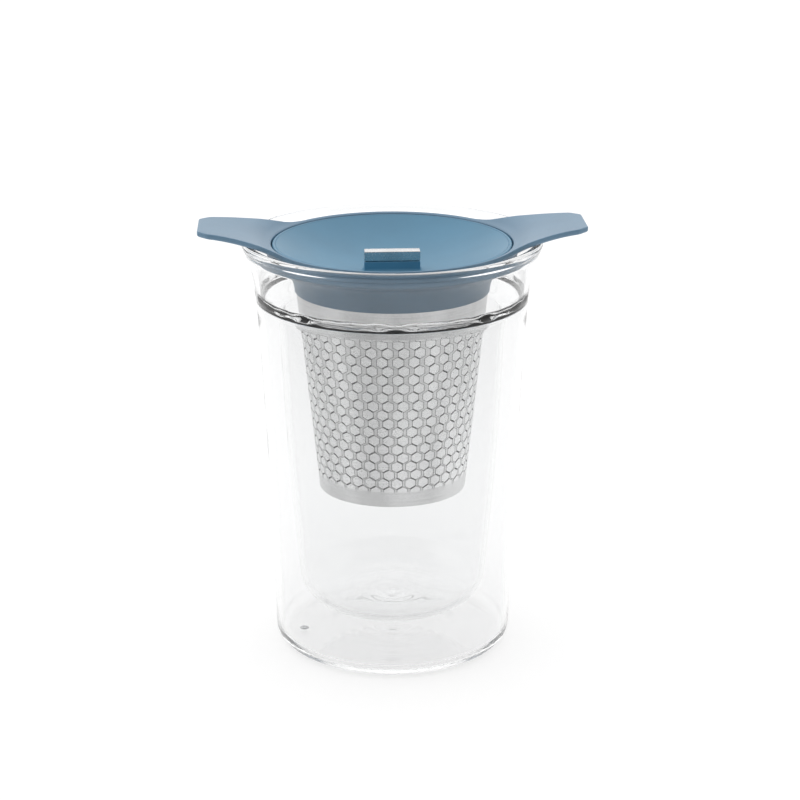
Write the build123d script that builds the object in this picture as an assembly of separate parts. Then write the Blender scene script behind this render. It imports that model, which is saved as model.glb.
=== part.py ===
from build123d import *
from math import copysign, cos, radians, sin, sqrt, tan
import os

# A double-walled tea glass with a drop-in infuser and a lid.
# Millimetres, +Z up. The origin is on the glass's axis, in the plane it stands on.
# The two wings of the infuser lie along X. A lean is an angle from upright, in degrees.

# ---------------------------------------------------------------- glass
glass_height = 130.1        # stand plane to the top of the lip
lip_radius = 45.75          # widest circle of the lip
lip_bead = 1.4              # radius of the fire-polished bead
flare_angle = 24.5          # lean of the flare where it meets the bead
flare_wall = 1.45           # thickness of the flare just under the bead
flare_lean = 23.5           # steepest lean of the flare's inner face
flare_rise = 5.0            # weld up to where the inner face is steepest
bead_blend = 3.0            # height over which the flare's inner face runs into the bead
weld_drop = 18.1            # lip top down to the weld between the two walls
weld_radius = 41.6          # outside radius at the weld
heel_radius = 37.1          # outside radius where the heel ends
heel_round = 5.0            # rounding of the heel
foot_width = 1.5            # flat ring that the glass stands on
push_up = 0.6               # hollow under the base
outer_wall = 1.7            # thickness of the outer wall
outer_floor = 1.9           # thickness of the base
outer_lean = 1.2            # lean of the outer wall above the heel
inner_wall = 1.6            # thickness of the cup wall
base_gap = 10.0             # air gap between the base and the cup
cup_round = 11.0            # outside rounding of the cup's bottom
cup_lower_radius = 29.3     # cup wall outside, above the bottom rounding
cup_upper_radius = 33.9     # cup wall outside, at the shoulder
cup_lean = 5.8              # lean of the cup wall above the bottom rounding
neck_length = 24.0          # weld down to the shoulder of the cup
neck_lean = 3.0             # lean of the cup wall at both ends of the neck
neck_wall = 1.0             # thickness of the cup wall at the weld
neck_gap = 0.6              # width of the air gap just under the weld
vent_radius = 0.9           # vent hole in the base, closed by a drop of glass
vent_inset = 8.7            # vent axis in from the heel's outside radius
vent_angle = 184.2          # direction of the vent, degrees from +X
vent_fit = 0.02             # melt line round the seal
button_radius = 1.45        # the drop of glass inside the vent
button_height = 0.55        # height of that drop over the base

# ---------------------------------------------------------------- infuser
wing_span = 117.2           # tip to tip
wing_tip_width = 22.4       # width of a wing beside its tip
wing_thickness = 1.7        # moulding thickness of the wings
wing_rise = 4.2             # lip top up to the top of a wing's tip
wing_start = 75.0           # lean of the collar's top where it leaves the mouth
wing_turn = 0.37            # where that rise is steepest, as a share of the way from mouth to lip
wing_chamfer = 3.0          # cut corner of the tip
wing_blend_angle = 46.8     # where a wing leaves the round rim, degrees from X
edge_chamfer = 0.7          # lower edge of the wings
seat_gap = 0.35             # wings over the crown of the lip
rim_drop = 1.5              # lip top down to the collar's inner edge
rim_radius = 38.0           # outside radius of the collar's round rim
rim_side = 3.1              # height of the rim's upright side
shoulder_width = 1.4        # rim's side in to where the skirt's shoulder turns
shoulder_drop = 5.0         # collar's inner edge down to where it turns
mouth_radius = 36.8         # recess that takes the lid
ledge_depth = 2.6           # collar's inner edge down to the lid's ledge
ledge_width = 3.0           # ledge under the lid's flange
ledge_wall = 1.6            # thickness of the moulding under the ledge
skirt_height = 14.2         # collar's inner edge down to its lower edge
skirt_edge = 0.45           # moulding outside the steel at its lower edge
skirt_band = 1.1            # height of the lower edge that follows the steel
collar_grip = 4.6           # length of steel inside the collar
lip_overlap = 2.3           # length of the collar's lip over the steel's inner face
grip_lip = 0.8              # thickness of that lip
mould_fit = 0.03            # gap between the steel and the moulding
basket_height = 67.5        # steel wall, bottom to top edge
basket_bottom_radius = 22.8  # outside radius at the bottom
basket_taper = 5.9          # lean of the steel wall
sheet = 0.4                 # steel thickness
floor_flange = 3.0          # upturned rim of the basket's floor
floor_fit = 0.03            # gap between that rim and the wall

# honeycomb of the wall: chains of cells that share edges, with a slot in each shared edge
chains = 37                 # chains round the basket
cell_width = 3.26           # flat to flat
slot_length = 1.85
slot_width = 0.3
slot_slant = 30.0           # slots against the horizontal, up and down in turn, degrees
lower_band = 4.95           # plain steel below the pattern
upper_band = 7.1            # plain steel between the pattern and the collar
floor_rings = 4             # rings of slots in the floor
floor_ring_pitch = 4.4      # from ring to ring

# ---------------------------------------------------------------- lid
lid_gap = 0.4               # gap round the lid's rim
lid_recess = 0.2            # collar's inner edge down to the lid's rim
seat_play = 0.15            # lid flange over its ledge
rim_chamfer = 0.5           # upper edge of the lid's rim
dish_depth = 9.7            # rim down to the middle of the dish
lid_wall = 1.8              # thickness of the dish
tab_width = 17.0            # grip tab along X
tab_thickness = 4.0         # grip tab along Y
tab_drop = 2.6              # lid's rim down to the top of the grip
tab_root = 1.5              # rounding between the tab and the dish
cap_height = 3.1            # steel cap on the tab
cap_wall = 0.8              # thickness of the cap's sheet
cap_fit = 0.03              # gap between the cap and the tongue inside it

# ---------------------------------------------------------------- levels
weld_level = glass_height - weld_drop
shoulder_level = weld_level - neck_length
cup_bottom_level = push_up + outer_floor + base_gap
bead_radius_centre = lip_radius - lip_bead
bead_level = glass_height - lip_bead
rim_level = glass_height - rim_drop
ledge_level = rim_level - ledge_depth
skirt_level = rim_level - skirt_height
steel_top_level = skirt_level + collar_grip
basket_level = steel_top_level - basket_height
pattern_level = basket_level + lower_band
lid_level = rim_level - lid_recess
dish_level = lid_level - dish_depth
grip_level = lid_level - tab_drop
flats = 2 * chains          # the steel wall is rolled as that many narrow flats


def revolved(outline):
    """A closed outline in the X-Z plane, turned about the Z axis."""
    return revolve(make_face(outline), Axis.Z)


def point(radius, height):
    return Vector(radius, 0, height)


def leaning(angle):
    """Direction up a face that leans outwards by an angle."""
    return point(sin(radians(angle)), cos(radians(angle)))


def swept(start, direction, *stops):
    """Arcs from stop to stop, each tangent to the last. The first leaves start in a direction."""
    arcs = []
    for stop in stops:
        arcs.append(TangentArc(start, stop, tangent=direction))
        direction = arcs[-1] % 1
        start = stop
    return arcs


def bead_point(angle):
    return point(bead_radius_centre + lip_bead * cos(radians(angle)),
                 bead_level + lip_bead * sin(radians(angle)))


def steel_radius(height):
    """Outside radius of the steel wall at a level, at the edges of its flats."""
    return basket_bottom_radius + (height - basket_level) * tan(radians(basket_taper))


def steel_inside(height):
    """Inside radius of the steel wall at a level, at the middle of its flats."""
    return (steel_radius(height) - sheet) * cos(radians(180 / flats))


# ---------------------------------------------------------------- pieces of the glass
def cup_side(inset):
    """One face of the cup's wall, from the axis to the shoulder. inset is 0 outside."""
    bottom = cup_bottom_level + inset
    centre = point(cup_lower_radius - cup_round, cup_bottom_level + cup_round)
    corner_start = point(centre.X, bottom)
    corner_middle = centre + (cup_round - inset) * Vector(1, 0, -1).normalized()
    low = centre + (cup_round - inset) * leaning(90 + cup_lean)
    high = point(cup_upper_radius - inset, shoulder_level)
    return [
        Line(point(0, bottom), corner_start),
        ThreePointArc(corner_start, corner_middle, low),
        TangentArc(low, high, tangent=leaning(cup_lean)),
    ]


def neck_side(shoulder, weld):
    """One face of the S-shaped neck."""
    return swept(shoulder, leaning(neck_lean), (shoulder + weld) / 2, weld)


def flare_inside(start, outer_face):
    """The flare's inner face, from the weld up into the bead."""
    mean_lean = (neck_lean + flare_lean) / 2
    turn = start + point(flare_rise * tan(radians(mean_lean)), flare_rise)
    end = bead_point(195)
    blend_level = end.Z - bead_blend
    centre = outer_face.arc_center
    reach = sqrt(outer_face.radius ** 2 - (blend_level - centre.Z) ** 2)
    outside = centre.X + copysign(reach, end.X - centre.X)
    blend = point(outside - flare_wall / cos(radians(flare_angle)), blend_level)
    return swept(start, leaning(neck_lean), turn, blend, end)


def make_inner_glass():
    weld_edge = point(weld_radius, weld_level)
    outside_neck = weld_edge - point(outer_wall + neck_gap, 0)
    inside_neck = outside_neck - point(neck_wall, 0)
    flare_outside = TangentArc(bead_point(-flare_angle), weld_edge, tangent=-leaning(flare_angle))
    return revolved(
        cup_side(0)
        + neck_side(point(cup_upper_radius, shoulder_level), outside_neck)
        + [
            Line(outside_neck, weld_edge),
            flare_outside,
            ThreePointArc(bead_point(-flare_angle), bead_point(35), bead_point(90)),
            ThreePointArc(bead_point(90), bead_point(140), bead_point(195)),
        ]
        + flare_inside(inside_neck, flare_outside)
        + neck_side(point(cup_upper_radius - inner_wall, shoulder_level), inside_neck)
        + cup_side(inner_wall)
        + [Line(point(0, cup_bottom_level), point(0, cup_bottom_level + inner_wall))]
    )


def outer_side(inset, start_level):
    """One face of the outer wall, which flares a little from the heel to the weld."""
    return TangentArc(point(heel_radius - inset, start_level), point(weld_radius - inset, weld_level),
                      tangent=leaning(outer_lean))


def make_outer_glass():
    floor_top = push_up + outer_floor
    heel_centre = point(heel_radius - heel_round, heel_round)
    foot_outer = point(heel_centre.X, 0)
    foot_inner = point(foot_outer.X - foot_width, 0)
    hollow = point(foot_inner.X - push_up, push_up)
    inner_round = heel_round - outer_wall
    inner_corner = point(heel_radius - outer_wall - inner_round, floor_top)
    inner_start = point(heel_radius - outer_wall, floor_top + inner_round)
    inner_middle = point(inner_corner.X, inner_start.Z) + inner_round * Vector(1, 0, -1).normalized()
    heel_middle = heel_centre + heel_round * Vector(1, 0, -1).normalized()
    body = revolved([
        Line(point(0, push_up), hollow),
        Line(hollow, foot_inner),
        Line(foot_inner, foot_outer),
        ThreePointArc(foot_outer, heel_middle, point(heel_radius, heel_round)),
        outer_side(0, heel_round),
        Line(point(weld_radius, weld_level), point(weld_radius - outer_wall, weld_level)),
        outer_side(outer_wall, inner_start.Z),
        ThreePointArc(inner_start, inner_middle, inner_corner),
        Line(inner_corner, point(0, floor_top)),
        Line(point(0, floor_top), point(0, push_up)),
    ])
    return body - vent_place() * Cylinder(vent_radius, 4 * outer_floor)


def vent_place():
    return Rot(0, 0, vent_angle) * Pos(heel_radius - vent_inset, 0, push_up)


def make_vent_seal():
    """The drop of glass that closes the vent: a stem in the hole and a button inside."""
    stem_radius = vent_radius - vent_fit
    ball = (button_radius ** 2 + button_height ** 2) / (2 * button_height)
    middle_radius = button_radius / 2
    middle_height = button_height - ball + sqrt(ball ** 2 - middle_radius ** 2)
    return vent_place() * revolved([
        Line(point(0, 0), point(stem_radius, 0)),
        Line(point(stem_radius, 0), point(stem_radius, outer_floor)),
        Line(point(stem_radius, outer_floor), point(button_radius, outer_floor)),
        ThreePointArc(point(button_radius, outer_floor),
                      point(middle_radius, outer_floor + middle_height),
                      point(0, outer_floor + button_height)),
        Line(point(0, outer_floor + button_height), point(0, 0)),
    ])


# ---------------------------------------------------------------- pieces of the infuser
def wing_top():
    """Top of the collar from its inner edge, over the lip, out to the tip of a wing."""
    mouth = point(mouth_radius, rim_level)
    over_lip = point(bead_radius_centre, glass_height + seat_gap + wing_thickness)
    tip = point(wing_span / 2 + wing_chamfer, glass_height + wing_rise)
    return swept(mouth, leaning(wing_start), mouth + (over_lip - mouth) * wing_turn, over_lip, tip)


def wing_outline():
    """Plan of one wing: its sides sweep out of the round rim and end in a cut tip."""
    blend = radians(wing_blend_angle)
    tip = wing_span / 2
    half_width = wing_tip_width / 2
    upper = [
        Vector(rim_radius * cos(blend), rim_radius * sin(blend)),
        Vector(tip - wing_chamfer, half_width),
        Vector(tip, half_width - wing_chamfer),
    ]
    lower = [Vector(corner.X, -corner.Y) for corner in upper]
    return make_face([
        TangentArc(upper[0], upper[1], tangent=(sin(blend), -cos(blend))),
        Line(upper[1], upper[2]),
        Line(upper[2], lower[2]),
        Line(lower[2], lower[1]),
        TangentArc(lower[0], lower[1], tangent=(sin(blend), cos(blend))),
        Line(lower[0], upper[0]),
    ])


def make_rim_plate():
    """The collar's top as a full round plate, before it is trimmed to the plan."""
    top = wing_top()
    bottom = [Pos(0, 0, -wing_thickness) * arc for arc in top]
    return revolved(top + [Line(top[-1] @ 1, bottom[-1] @ 1)] + bottom + [Line(bottom[0] @ 0, top[0] @ 0)])


def make_wing(plate):
    """The right wing, with the lower edge of its outline cut away at a slant."""
    plan = Pos(0, 0, skirt_level) * extrude(wing_outline(), glass_height + 2 * wing_rise - skirt_level)
    wing = plate & plan
    underside = [face for face in wing.faces() if face.normal_at().Z < -0.5]
    outline = [edge for face in underside for edge in face.edges()
               if edge.geom_type != GeomType.CIRCLE
               and Vector((edge @ 0.5).X, (edge @ 0.5).Y).length > rim_radius]
    return chamfer(outline, edge_chamfer)


def make_infuser_collar():
    """The round rim with its two wings, and the skirt that is moulded over the steel's top edge."""
    steel_out = steel_radius(skirt_level) + mould_fit
    steel_top_out = steel_radius(steel_top_level) + mould_fit
    steel_top_in = steel_inside(steel_top_level) - mould_fit
    lip_end_level = steel_top_level - lip_overlap
    lip_end = steel_inside(lip_end_level) - mould_fit
    lip_top = steel_top_level + grip_lip
    low_edge = point(steel_radius(skirt_level) + skirt_edge, skirt_level)
    band_top = point(steel_radius(skirt_level + skirt_band) + skirt_edge, skirt_level + skirt_band)
    shoulder = point(rim_radius - shoulder_width, rim_level - shoulder_drop)
    side_low = point(rim_radius, rim_level - rim_side)
    ledge_inner = point(mouth_radius - ledge_width, ledge_level)
    under_ledge = ledge_inner - point(0, ledge_wall)
    ring = revolved([
        Line(point(steel_out, skirt_level), low_edge),
        Line(low_edge, band_top),
        *swept(band_top, leaning(basket_taper), shoulder, side_low),
        Line(side_low, point(rim_radius, rim_level)),
        Line(point(rim_radius, rim_level), point(mouth_radius, rim_level)),
        Line(point(mouth_radius, rim_level), point(mouth_radius, ledge_level)),
        Line(point(mouth_radius, ledge_level), ledge_inner),
        Line(ledge_inner, under_ledge),
        Line(under_ledge, point(steel_top_in, lip_top)),
        Line(point(steel_top_in, lip_top), point(steel_top_in - grip_lip, lip_top)),
        Line(point(steel_top_in - grip_lip, lip_top), point(lip_end - grip_lip, lip_end_level)),
        Line(point(lip_end - grip_lip, lip_end_level), point(lip_end, lip_end_level)),
        Line(point(lip_end, lip_end_level), point(steel_top_in, steel_top_level)),
        Line(point(steel_top_in, steel_top_level), point(steel_top_out, steel_top_level)),
        Line(point(steel_top_out, steel_top_level), point(steel_out, skirt_level)),
    ])
    plate = make_rim_plate()
    round_rim = plate & Pos(0, 0, rim_level) * Cylinder(rim_radius, 4 * wing_rise)
    wing = make_wing(plate)
    return ring + round_rim + wing + wing.mirror(Plane.YZ)


def wall_corner(index, level, inset):
    """A corner of the steel wall's section. Each chain of slots lies down the middle of a flat."""
    angle = radians(360 / flats * (index + 0.5))
    radius = steel_radius(level) - inset
    return Vector(radius * cos(angle), radius * sin(angle), level)


def flat_sided_cone(inset):
    """The steel wall's cone as a solid with flat sides, which hundreds of slots cut cleanly."""
    ends = [
        Polyline(*[wall_corner(i, level, inset) for i in range(flats)], close=True)
        for level in (basket_level, steel_top_level)
    ]
    sides = [
        Polyline(wall_corner(i, basket_level, inset), wall_corner(i + 1, basket_level, inset),
                 wall_corner(i + 1, steel_top_level, inset), wall_corner(i, steel_top_level, inset),
                 close=True)
        for i in range(flats)
    ]
    return Solid(Shell([make_face(outline).face() for outline in ends + sides]))


def wall_slots():
    """The slots of the honeycomb: down each chain of cells they slant one way and the other in turn."""
    row_pitch = cell_width * sin(radians(60))
    rows = int((skirt_level - upper_band - pattern_level) / row_pitch)
    slots = []
    for chain in range(chains):
        for row in range(rows):
            level = pattern_level + (row + 0.5) * row_pitch
            slant = -slot_slant if row % 2 else slot_slant
            place = Rot(0, 0, 360 * chain / chains) * Pos(steel_radius(level), 0, level)
            slots.append(place * Rot(slant, 0, 0) * Box(6 * sheet, slot_length, slot_width))
    return slots


def make_basket_wall():
    return flat_sided_cone(0) - flat_sided_cone(sheet) - wall_slots()


def make_basket_floor():
    """A shallow dish of sheet, slotted to drain, its rim turned up and welded inside the wall."""
    low_radius = steel_inside(basket_level) - floor_fit
    high_radius = steel_inside(basket_level + floor_flange) - floor_fit
    dish = revolved([
        Line(point(0, basket_level), point(low_radius, basket_level)),
        Line(point(low_radius, basket_level), point(high_radius, basket_level + floor_flange)),
        Line(point(high_radius, basket_level + floor_flange),
             point(high_radius - sheet, basket_level + floor_flange)),
        Line(point(high_radius - sheet, basket_level + floor_flange),
             point(low_radius - sheet, basket_level + sheet)),
        Line(point(low_radius - sheet, basket_level + sheet), point(0, basket_level + sheet)),
        Line(point(0, basket_level + sheet), point(0, basket_level)),
    ])
    slots = []
    for ring in range(1, floor_rings + 1):
        for i in range(6 * ring):
            place = Rot(0, 0, 60 * i / ring) * Pos(ring * floor_ring_pitch, 0, basket_level)
            slots.append(place * Box(slot_width, slot_length, 4 * sheet))
    return dish - slots


# ---------------------------------------------------------------- pieces of the lid
def make_lid_dish():
    """The dish with its rim and its grip tab, moulded in one, and a tongue on top for the cap."""
    rim = mouth_radius - lid_gap
    seat = ledge_level + seat_play
    plug = mouth_radius - ledge_width - lid_gap
    dish_rim = rim - rim_chamfer
    ball = (dish_rim ** 2 + dish_depth ** 2) / (2 * dish_depth)
    centre_level = dish_level + ball

    def dish_point(radius, inset):
        return point(radius, centre_level - sqrt((ball + inset) ** 2 - radius ** 2))

    top_edge = dish_point(dish_rim, 0)
    under_plug = dish_point(plug, lid_wall)
    dish = revolved([
        ThreePointArc(point(0, dish_level), dish_point(dish_rim / 2, 0), top_edge),
        Line(top_edge, point(rim, top_edge.Z - rim_chamfer)),
        Line(point(rim, top_edge.Z - rim_chamfer), point(rim, seat)),
        Line(point(rim, seat), point(plug, seat)),
        Line(point(plug, seat), under_plug),
        ThreePointArc(under_plug, dish_point(plug / 2, lid_wall), point(0, dish_level - lid_wall)),
        Line(point(0, dish_level - lid_wall), point(0, dish_level)),
    ])
    shoulder = grip_level - cap_height
    tab_low = dish_level - lid_wall / 2
    tab = Pos(0, 0, tab_low) * extrude(Rectangle(tab_width, tab_thickness), shoulder - tab_low)
    tabbed_dish = dish + tab
    tab_corner = Vector(tab_width, tab_thickness).length / 2
    root = [edge for edge in tabbed_dish.edges()
            if dish_level < (edge @ 0.5).Z < (dish_level + shoulder) / 2
            and Vector((edge @ 0.5).X, (edge @ 0.5).Y).length <= tab_corner]
    rooted_dish = fillet(root, tab_root)
    tongue_width = tab_width - 2 * (cap_wall + cap_fit)
    tongue_thickness = tab_thickness - 2 * (cap_wall + cap_fit)
    tongue_height = cap_height - cap_wall
    tongue = Pos(0, 0, shoulder) * extrude(Rectangle(tongue_width, tongue_thickness), tongue_height)
    return rooted_dish + tongue


def make_grip_cap():
    """A folded sheet cap, open below, over the tab's tongue."""
    low = grip_level - cap_height
    block = Pos(0, 0, low) * extrude(Rectangle(tab_width, tab_thickness), cap_height)
    inside = Rectangle(tab_width - 2 * cap_wall, tab_thickness - 2 * cap_wall)
    return block - Pos(0, 0, low) * extrude(inside, cap_height - cap_wall)


# ---------------------------------------------------------------- write
pieces = {
    "inner_glass": make_inner_glass(),
    "outer_glass": make_outer_glass(),
    "vent_seal": make_vent_seal(),
    "infuser_collar": make_infuser_collar(),
    "basket_wall": make_basket_wall(),
    "basket_floor": make_basket_floor(),
    "lid_dish": make_lid_dish(),
    "grip_cap": make_grip_cap(),
}

os.makedirs("parts", exist_ok=True)
for name, solid in pieces.items():
    export_step(solid, f"parts/{name}.step")
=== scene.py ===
import math

import bpy
from mathutils import Matrix, Vector
from mathutils.geometry import delaunay_2d_cdt


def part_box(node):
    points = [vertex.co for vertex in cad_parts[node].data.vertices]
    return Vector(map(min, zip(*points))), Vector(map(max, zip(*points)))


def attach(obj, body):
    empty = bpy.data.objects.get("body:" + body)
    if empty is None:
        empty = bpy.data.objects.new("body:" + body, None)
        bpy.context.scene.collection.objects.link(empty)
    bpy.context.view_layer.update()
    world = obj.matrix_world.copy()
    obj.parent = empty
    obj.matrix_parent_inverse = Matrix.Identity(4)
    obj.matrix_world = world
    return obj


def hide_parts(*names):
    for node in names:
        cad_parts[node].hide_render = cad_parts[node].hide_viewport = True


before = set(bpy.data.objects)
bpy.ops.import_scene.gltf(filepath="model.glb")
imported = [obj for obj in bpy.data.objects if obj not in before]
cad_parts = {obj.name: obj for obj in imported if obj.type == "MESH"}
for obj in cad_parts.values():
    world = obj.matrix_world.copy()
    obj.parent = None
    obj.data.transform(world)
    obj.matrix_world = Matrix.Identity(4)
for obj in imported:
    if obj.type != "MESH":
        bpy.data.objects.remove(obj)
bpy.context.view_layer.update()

# Lengths are in millimetres, but for the studio's. They turn into metres where a mesh is made.
# The axis of the glass is Z, and the two wings of the infuser lie along X.
# A section is a list of (radius, height) points. A lean is an angle from upright.
MM = 0.001


def cad(node_name):
    """Lowest and highest corner of a CAD node, in millimetres."""
    low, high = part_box(node_name)
    return Vector(low) / MM, Vector(high) / MM


# ---------------------------------------------------------------- levels and sizes from the frame
inner_low, inner_high = cad("inner_glass")
_, outer_high = cad("outer_glass")
collar_low, collar_high = cad("infuser_collar")
wall_low, wall_high = cad("basket_wall")
cap_low, cap_high = cad("grip_cap")
vent_low, vent_high = cad("vent_seal")

glass_height = inner_high.z
lip_radius = inner_high.x
weld_level = outer_high.z
cup_bottom_level = inner_low.z
skirt_level = collar_low.z
wing_tip_level = collar_high.z
wing_span = collar_high.x - collar_low.x
basket_level = wall_low.z
steel_top_level = wall_high.z
steel_top_radius = wall_high.y
cap_width = cap_high.x - cap_low.x
cap_thickness = cap_high.y - cap_low.y

# glass
GLASS_TINT = (0.957, 0.959, 0.96)
# the vent drop's grey tint is painted shade for the dark look that a thick drop of glass gets
PAINTED_SHADE_TINT = (0.42, 0.43, 0.44)
GLASS_IOR = 1.47
LIP_BEAD = 1.4
FLARE_ANGLE = math.radians(24.5)
FLARE_WALL = 1.45
BEAD_BLEND = 3.0
BEAD_INNER = 195.0  # degrees round the bead to where the inner face meets it
WELD_RADIUS = 41.6
WELD_HEIGHT = 2.6
WELD_SWELLING = 0.16
WELD_WAVE = 0.2
WELD_WAVES = ((13, 0.4), (22, 1.9), (31, 4.1))  # waves in a turn, and where they start
NECK_RADIUS = 34.5
SHOULDER_FOOT = 5.0
SHOULDER_RISE = 3.7
SHOULDER_RUN = 2.8
GAP_ROUND = 0.5
HEEL_RADIUS = 37.1
HEEL_ROUND = 5.0
FOOT_WIDTH = 1.5
PUSH_UP = 0.6
HOLLOW_RADIUS = 12.0
OUTER_WALL = 1.7
OUTER_FLOOR = 1.9
OUTER_LEAN = math.radians(1.2)
INNER_WALL = 1.6
BOSS_HEIGHT = 0.35
BOSS_RADIUS = 4.5
RING_HEIGHT = 0.05
RING_PITCH = 4.2
CUP_ROUND = 11.0
CUP_LOWER_RADIUS = 29.3
CUP_UPPER_RADIUS = 33.9
CUP_LEAN = 5.8  # in degrees, as an arc takes it
NECK_LENGTH = 24.0
NECK_LEAN = math.radians(3.0)

# infuser
COLLAR_COLOUR = (96, 131, 157)
COLLAR_ROUGHNESS = 0.38
PLASTIC_IOR = 1.58
TIP_WIDTH = 22.4
TIP_SOFTNESS = 0.8
WING_THICKNESS = 1.7
WING_CHAMFER = 3.0
WING_BLEND = math.radians(46.8)
WING_START = math.radians(75.0)
WING_TURN = 0.37
WING_UPPER_EDGE = 0.35
WING_LOWER_EDGE = 0.7
UNDERSIDE_INSET = 0.2
UNDERSIDE_TUCK = 0.25
SEAT_GAP = 0.35
RIM_DROP = 1.5
RIM_RADIUS = 38.0
RIM_SIDE = 3.1
SKIRT_TURN_WIDTH = 1.4
SKIRT_TURN_DROP = 5.0
MOUTH_RADIUS = 36.8
MOUTH_EDGE = 0.3
LEDGE_DEPTH = 2.6
LEDGE_WIDTH = 3.0
LEDGE_WALL = 1.6
SKIRT_EDGE = 0.45
SKIRT_BAND = 1.1
SKIRT_SOFTNESS = 0.22
GRIP_LIP = 0.8
MOULD_FIT = 0.03
BASKET_TAPER = math.radians(5.9)
SHEET = 0.4

# honeycomb: chains of cells that share edges, with a slot in each shared edge
CHAINS = 37
CELL_WIDTH = 3.26
SLOT_LENGTH = 1.85
SLOT_WIDTH = 0.46
SLOT_SLANT = math.radians(30)
LOWER_BAND = 4.95
UPPER_BAND = 7.1
ETCH_WIDTH = 0.22
ETCH_DEPTH = 0.09

# steel: a brush stretches a noise into streaks, and upright zones of painted reflection make its
# colour lighter and darker
PAINTED_REFLECTION_ZONES = (75.0, 75.0, 6.0)
ROUND_BRUSH = (60.0, 60.0, 2400.0)
FLOOR_BRUSH = (90.0, 2400.0, 90.0)
CAP_BRUSH = (90.0, 3000.0, 3000.0)
STREAK_SHARE = 0.6
SPECK_SHARE = 0.4
PAINTED_REFLECTION_SHARE = 1.1
# name, darkest and palest grey, roughness; the wall's finishes in the order of its slots
WALL_FINISHES = (
    ("wall_steel", 0.62, 0.84, 0.36),
    ("cell_steel", 0.7, 0.94, 0.3),
    ("etched_steel", 0.3, 0.42, 0.45),
    # the slots' cut walls are near black: painted shade for the dark inside of the basket seen
    # through the slots
    ("painted_shade_slot_steel", 0.02, 0.05, 0.6),
    # the wall's inner face is darker than its outer face: painted shade for the inside of the
    # basket
    ("inside_steel", 0.13, 0.22, 0.45),
)
PLAIN, PAD, ETCHED, PAINTED_SHADE_SLOT, SHADED_INSIDE = range(len(WALL_FINISHES))
FLOOR_FINISH = ("floor_steel", 0.45, 0.66, 0.32)
CAP_FINISH = ("brushed_cap", 0.5, 0.66, 0.24)

# lid
LID_COLOUR = (74, 132, 163)
LID_ROUGHNESS = 0.4
LID_GAP = 0.4
LID_RECESS = 0.2
LID_EDGE = 0.5
LID_CHAMFER = 0.2
DISH_START = 2.4  # from the lid's rim, in radii of its edge
SEAT_PLAY = 0.15
DISH_DEPTH = 9.7
LID_WALL = 1.8
TAB_ROOT = 1.5
TAB_SINK = 0.6
TAB_SOFTNESS = 0.35
TONGUE_INSET = 0.9
CAP_SHADOW = 0.15
CAP_FOLD = 0.22
CAP_CORNER = 0.3
CAP_CHAMFER = 0.1
CAP_WALL = 0.75
MIN_CORNER = 0.05

rim_level = glass_height - RIM_DROP
ledge_level = rim_level - LEDGE_DEPTH
lid_level = rim_level - LID_RECESS
dish_level = lid_level - DISH_DEPTH
row_pitch = CELL_WIDTH * math.sin(math.radians(60))
pattern_level = basket_level + LOWER_BAND
rows = int((skirt_level - UPPER_BAND - pattern_level) / row_pitch)
pattern_top = pattern_level + rows * row_pitch

# the camera, fitted to an 800 pixel picture
CAMERA_DISTANCE = 626.5
CAMERA_HEIGHT = 285.2
CAMERA_DOWN = 0.3197
CAMERA_TURN = 0.0038
INFUSER_YAW = math.radians(2.8)
FOCAL_PIXELS = 2123.8
PICTURE = 800
SENSOR_WIDTH = 36.0

# the studio: the floor's lengths are in metres, and a fade runs between two values of a direction
FLOOR_HALF = 30.0
FLOOR_SINK = 0.00005
FLOOR_GREY = 0.3
FLOOR_GLOW = 0.75
FLOOR_DIM = 0.42
FLOOR_FADE = (0.15, 0.42)
FLOOR_WIDENS = 0.2
WORLD_LIGHT = 1.3
WORLD_DARK = 0.2
WORLD_RIGHT = 0.75
BEHIND_FADE = (-0.7, -0.3)
OVERHEAD_FADE = (0.72, 0.85)
RIGHT_FADE = (0.3, 0.9)

# segments in a full turn, and the radius under which a point is on the axis
ROUND = 256
ON_AXIS = 1e-6


# ---------------------------------------------------------------- camera
def make_camera():
    """Stands round the glass by the small angle that the wings are turned to the view."""
    data = bpy.data.cameras.new("camera")
    data.sensor_width = SENSOR_WIDTH
    data.lens = data.sensor_width * FOCAL_PIXELS / PICTURE
    data.clip_start = 0.01
    data.clip_end = 100.0
    camera = bpy.data.objects.new("camera", data)
    bpy.context.collection.objects.link(camera)
    heading = CAMERA_TURN + INFUSER_YAW
    forward = Vector((math.sin(heading) * math.cos(CAMERA_DOWN),
                      math.cos(heading) * math.cos(CAMERA_DOWN),
                      -math.sin(CAMERA_DOWN)))
    right = Vector((math.cos(heading), -math.sin(heading), 0))
    up = right.cross(forward)
    turn = Matrix((right, up, -forward)).transposed()
    place = Vector((-CAMERA_DISTANCE * math.sin(INFUSER_YAW),
                    -CAMERA_DISTANCE * math.cos(INFUSER_YAW),
                    CAMERA_HEIGHT)) * MM
    camera.matrix_world = Matrix.Translation(place) @ turn.to_4x4()
    bpy.context.scene.camera = camera


# ---------------------------------------------------------------- curves in a section plane
def polar(angle):
    """Unit vector at an angle in degrees."""
    return Vector((math.cos(math.radians(angle)), math.sin(math.radians(angle))))


def leaning(angle):
    """Direction up a face that leans outwards by an angle in radians."""
    return Vector((math.sin(angle), math.cos(angle)))


def line(start, end, steps):
    """Points on a straight line after its start."""
    return [start.lerp(end, i / steps) for i in range(1, steps + 1)]


def arc(centre, radius, start, end, steps):
    """Points on an arc after its start. Angles are in degrees."""
    return [centre + radius * polar(start + (end - start) * i / steps)
            for i in range(1, steps + 1)]


def bezier(points, steps):
    """Points on a Bezier curve after its start."""
    made = []
    for i in range(1, steps + 1):
        row = list(points)
        while len(row) > 1:
            row = [a.lerp(b, i / steps) for a, b in zip(row, row[1:])]
        made.append(row[0])
    return made


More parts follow.
